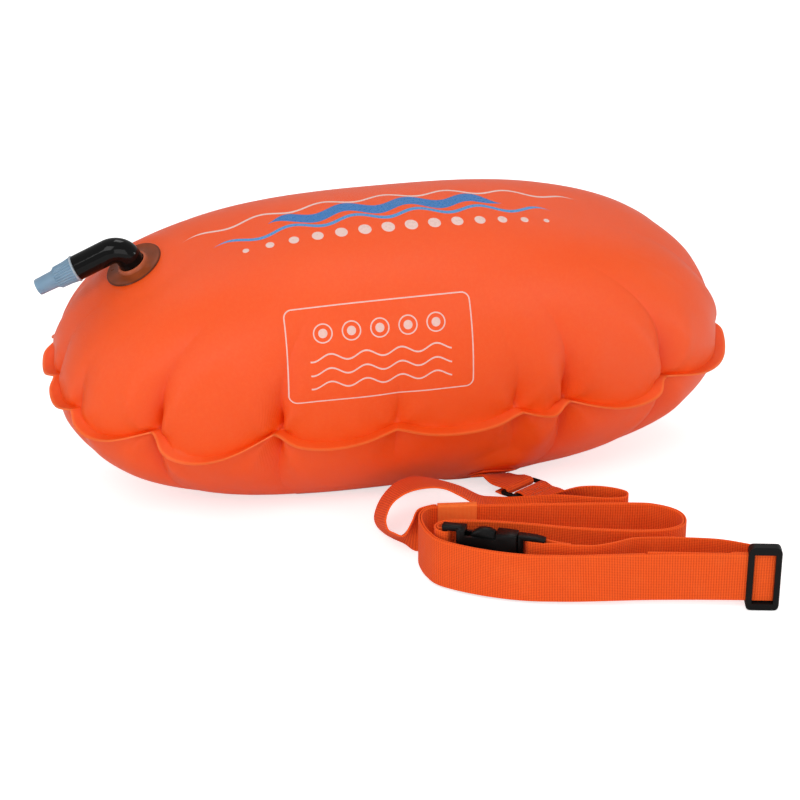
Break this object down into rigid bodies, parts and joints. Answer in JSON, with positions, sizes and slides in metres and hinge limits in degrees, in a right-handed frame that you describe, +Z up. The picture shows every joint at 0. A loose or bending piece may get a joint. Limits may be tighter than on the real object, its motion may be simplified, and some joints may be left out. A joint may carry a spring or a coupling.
{
  "type": "open water swim buoy",
  "caption": "Inflated open water swim buoy with a twist valve, towed by a webbing leash from an adjustable waist belt with a side-release buckle",
  "frame": {"origin": "On the floor, on the flattened area where the bladder rests, under the middle of the bladder's length", "axes": "+Z is up, X is the bladder's long axis with the valve at -X, and the belt lies on the -Y side"},
  "size_m": [0.5634, 0.4329, 0.2366],
  "materials": {
    "coated_fabric": "satin",
    "orange_webbing": "woven",
    "black_plastic": "satin",
    "black_vinyl": "glossy",
    "brown_film": "satin film",
    "white_plastic": "satin",
    "pale_blue_plastic": "translucent satin",
    "black_rubber": "matte"
  },
  "bodies": {
    "buoy": {"upper_panel": "coated_fabric", "lower_panel": "coated_fabric", "valve_flange": "brown_film", "valve_elbow": "black_vinyl", "valve_insert": "white_plastic", "anchor_patch": "coated_fabric", "anchor_tab": "orange_webbing", "leash_webbing": "orange_webbing", "leash_end_loop": "orange_webbing", "belt_webbing": "orange_webbing", "belt_buckle_end": "orange_webbing", "buckle_female": "black_plastic", "buckle_male": "black_plastic"},
    "seal": {"valve_seal_ring": "black_rubber"},
    "mouthpiece": {"mouthpiece": "pale_blue_plastic"},
    "ring": {"anchor_ring": "black_plastic", "leash_ring_loop": "orange_webbing"},
    "adjuster": {"triglide": "black_plastic", "belt_adjuster_end": "orange_webbing"},
    "upper_arm": {"release_arm_upper": "black_plastic"},
    "lower_arm": {"release_arm_lower": "black_plastic"}
  },
  "joints": [
    {"name": "mouthpiece_turn", "type": "hinge", "parent": "seal", "child": "mouthpiece", "pos_m": [-0.24988, 0.00669, 0.19741], "axis": [-0.8802, 0.1628, -0.4459], "range_deg": [0, 270]},
    {"name": "valve_unscrew", "type": "slide", "parent": "buoy", "child": "seal", "axis": [-0.8802, 0.1628, -0.4459], "range_m": [0, 0.003]},
    {"name": "ring_swing", "type": "hinge", "parent": "buoy", "child": "ring", "pos_m": [0.08163, -0.08272, 0.01], "axis": [-0.7696, -0.6232, 0.1392], "range_deg": [-5, 60], "deforming": ["leash_webbing"]},
    {"name": "adjuster_slide", "type": "slide", "parent": "buoy", "child": "adjuster", "axis": [-0.9587, 0.2845, 0], "range_m": [0, 0.06], "deforming": ["belt_adjuster_end"]},
    {"name": "upper_arm_press", "type": "hinge", "parent": "buoy", "child": "upper_arm", "pos_m": [0.03493, -0.2252, 0.03783], "axis": [-0.4802, -0.8771, 0], "range_deg": [0, 13], "stiffness_Nm_per_rad": 2},
    {"name": "lower_arm_press", "type": "hinge", "parent": "buoy", "child": "lower_arm", "pos_m": [0.03493, -0.2252, 0.01183], "axis": [0.4802, 0.8771, 0], "range_deg": [0, 13], "stiffness_Nm_per_rad": 2}
  ],
  "couplings": [
    {"joint": "mouthpiece_turn", "follows": "valve_unscrew", "rad_per_m": 1570.6}
  ]
}
